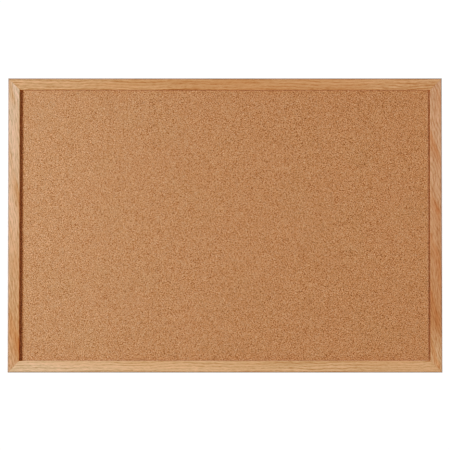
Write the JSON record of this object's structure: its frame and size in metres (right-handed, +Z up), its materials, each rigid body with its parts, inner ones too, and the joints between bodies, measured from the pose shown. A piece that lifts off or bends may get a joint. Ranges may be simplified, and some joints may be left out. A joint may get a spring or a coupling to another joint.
{
  "type": "cork bulletin board",
  "caption": "Wall-hung cork bulletin board: fine-grain cork on a soft fibreboard core in a mitred oak frame, with swinging D-ring hangers and rubber bumpers at the back.",
  "frame": {"origin": "the point of the wall plane behind the board's centre: the bumpers' faces lie in the plane y = 0", "axes": "+X across the board, to the right as seen from the room; +Y from the board's front to the wall; +Z up"},
  "size_m": [0.9, 0.024, 0.61],
  "materials": {
    "oak": "satin",
    "cork": "matte",
    "fibreboard": "matte",
    "backing": "matte",
    "steel": "satin",
    "plated_steel": "satin",
    "screw_steel": "satin",
    "rubber": "matte"
  },
  "bodies": {
    "board": {"frame_top_rail": "oak", "frame_bottom_rail": "oak", "frame_left_stile": "oak", "frame_right_stile": "oak", "cork_sheet": "cork", "core_board": "fibreboard", "backing_sheet": "backing", "v_nail_top_left_outer": "steel", "v_nail_top_left_inner": "steel", "v_nail_top_right_outer": "steel", "v_nail_top_right_inner": "steel", "v_nail_bottom_left_outer": "steel", "v_nail_bottom_left_inner": "steel", "v_nail_bottom_right_outer": "steel", "v_nail_bottom_right_inner": "steel", "panel_point_top_1": "steel", "panel_point_top_2": "steel", "panel_point_top_3": "steel", "panel_point_bottom_1": "steel", "panel_point_bottom_2": "steel", "panel_point_bottom_3": "steel", "panel_point_left_1": "steel", "panel_point_left_2": "steel", "panel_point_right_1": "steel", "panel_point_right_2": "steel", "hanger_strap_left": "plated_steel", "hanger_screw_left": "screw_steel", "hanger_strap_right": "plated_steel", "hanger_screw_right": "screw_steel", "bumper_left": "rubber", "bumper_right": "rubber"},
    "ring_left": {"hanger_ring_left": "plated_steel"},
    "ring_right": {"hanger_ring_right": "plated_steel"}
  },
  "joints": [
    {"name": "ring_left_swing", "type": "hinge", "parent": "board", "child": "ring_left", "pos_m": [-0.4425, -0.0028, 0.215], "axis": [-1, 0, 0], "range_deg": [0, 178]},
    {"name": "ring_right_swing", "type": "hinge", "parent": "board", "child": "ring_right", "pos_m": [0.4425, -0.0028, 0.215], "axis": [-1, 0, 0], "range_deg": [0, 178]}
  ]
}
